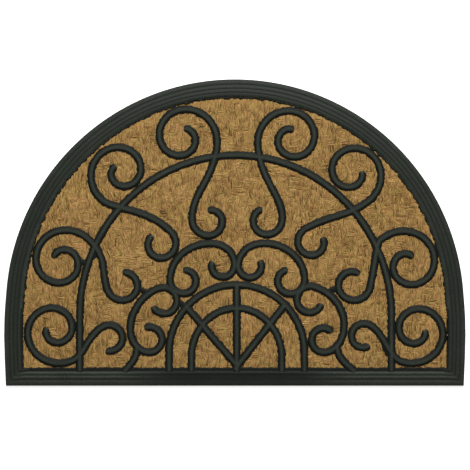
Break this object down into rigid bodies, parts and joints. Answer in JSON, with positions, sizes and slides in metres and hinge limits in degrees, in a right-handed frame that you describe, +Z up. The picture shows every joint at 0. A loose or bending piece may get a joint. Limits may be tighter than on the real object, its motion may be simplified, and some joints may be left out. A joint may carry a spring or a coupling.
{
  "type": "half-round doormat",
  "caption": "Half-round doormat: a moulded rubber mat with ribbed border, backing and raised scroll and fanlight grille over a flat sheet of coir.",
  "frame": {"origin": "centre of the mat's box, at the underside that lies on the floor", "axes": "+X along the straight edge to the right as seen from above with the round edge away, +Y towards the round edge, +Z up"},
  "size_m": [0.6, 0.3984, 0.0096],
  "materials": {
    "rubber": "matt moulded rubber, very dark green-grey",
    "coir": "coarse woven coir, natural golden brown"
  },
  "bodies": {
    "root": {"rubber_moulding": "rubber", "coir_sheet": "coir"}
  },
  "joints": []
}
